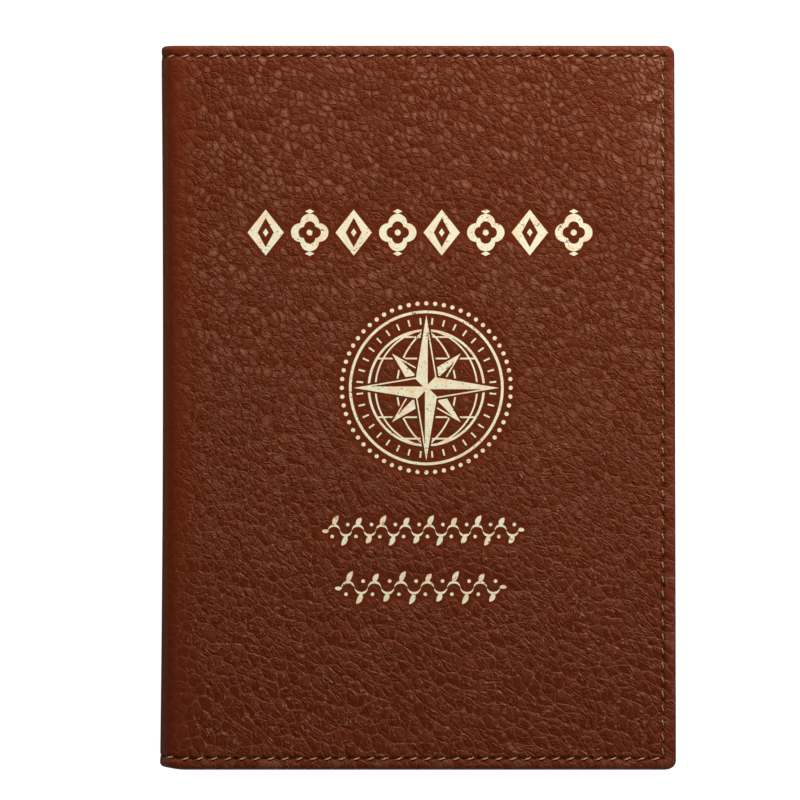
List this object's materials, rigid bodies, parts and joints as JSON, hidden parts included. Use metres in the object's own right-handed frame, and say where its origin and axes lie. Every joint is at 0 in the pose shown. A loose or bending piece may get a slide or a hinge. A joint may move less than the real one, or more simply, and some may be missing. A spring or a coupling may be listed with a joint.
{
  "type": "passport holder",
  "caption": "Folding leather case for a passport booklet: two covers joined by a narrow spine, with an open-mouthed pocket inside each cover.",
  "frame": {"origin": "under the middle of the closed case, on the back cover's outer face", "axes": "+X from the spine to the fore edge, +Y towards the top of the cover, +Z out of the front cover"},
  "size_m": [0.1014, 0.1436, 0.0104],
  "materials": {
    "cover_leather": "pebbled, semi-matt",
    "pocket_leather": "finer grain, semi-matt",
    "board": "plain grey-brown board",
    "lining": "fine twill, matt",
    "thread": "waxed thread",
    "foil": "pale gold foil, slightly worn"
  },
  "bodies": {
    "back_cover": {"back_leather": "cover_leather", "back_board": "board", "back_lining": "lining", "back_hem": "cover_leather", "back_pocket": "pocket_leather", "back_outer_stitches": "thread", "back_inner_stitches": "thread", "back_pocket_mouth_stitches": "thread"},
    "spine": {"spine_leather": "cover_leather", "spine_lining": "lining", "spine_hem": "cover_leather", "spine_outer_stitches": "thread", "spine_inner_stitches": "thread"},
    "front_cover": {"front_leather": "cover_leather", "front_board": "board", "front_lining": "lining", "front_hem": "cover_leather", "front_pocket": "pocket_leather", "front_outer_stitches": "thread", "front_inner_stitches": "thread", "front_pocket_mouth_stitches": "thread", "foil_title_band": "foil", "foil_emblem": "foil", "foil_upper_flourish": "foil", "foil_lower_flourish": "foil"}
  },
  "joints": [
    {"name": "back_fold", "type": "hinge", "parent": "back_cover", "child": "spine", "pos_m": [-0.05006, 0, 0.00069], "axis": [0, -1, 0], "range_deg": [0, 90]},
    {"name": "front_fold", "type": "hinge", "parent": "spine", "child": "front_cover", "pos_m": [-0.05006, 0, 0.00971], "axis": [0, -1, 0], "range_deg": [0, 90]}
  ],
  "couplings": [
    {"joint": "front_fold", "follows": "back_fold", "ratio": 1}
  ]
}
